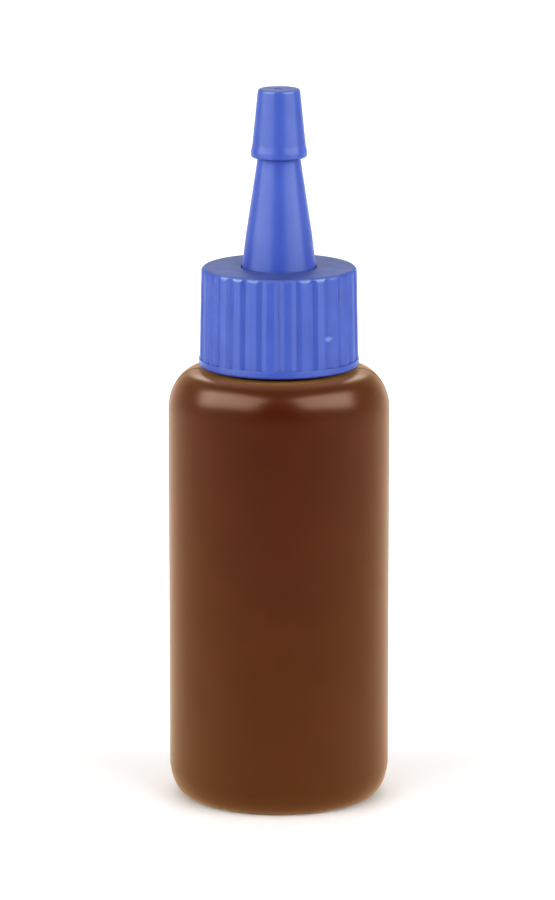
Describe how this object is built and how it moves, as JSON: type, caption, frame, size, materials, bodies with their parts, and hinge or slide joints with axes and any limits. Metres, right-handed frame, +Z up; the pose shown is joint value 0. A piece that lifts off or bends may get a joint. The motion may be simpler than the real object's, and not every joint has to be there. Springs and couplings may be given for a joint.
{
  "type": "ink bottle",
  "caption": "Translucent squeeze bottle of brown ink with a ribbed blue screw collar, a long tapered nozzle and a push-on tip cap.",
  "frame": {"origin": "centre of the base, on the plane the bottle stands on", "axes": "+Z up along the bottle's axis; every outline is round about it, and -Y is the front"},
  "size_m": [0.0444, 0.0444, 0.1447],
  "materials": {
    "natural_polyethylene": "satin",
    "brown_ink": "gloss",
    "blue_polyethylene": "satin"
  },
  "bodies": {
    "bottle": {"bottle": "natural_polyethylene", "ink_fill": "brown_ink"},
    "nozzle": {"nozzle": "blue_polyethylene"},
    "screw_collar": {"screw_collar": "blue_polyethylene"},
    "tip_cap": {"tip_cap": "blue_polyethylene"}
  },
  "joints": [
    {"name": "nozzle_lift", "type": "slide", "parent": "bottle", "child": "nozzle", "axis": [0, 0, 1], "range_m": [0, 0.0064]},
    {"name": "collar_turn", "type": "hinge", "parent": "nozzle", "child": "screw_collar", "pos_m": [0, 0, 0.0984], "axis": [0, 0, 1], "range_deg": [0, 540]},
    {"name": "tip_cap_pull", "type": "slide", "parent": "nozzle", "child": "tip_cap", "axis": [0, 0, 1], "range_m": [0, 0.018]}
  ],
  "couplings": [
    {"joint": "nozzle_lift", "follows": "collar_turn", "m_per_rad": 0.00067375}
  ]
}
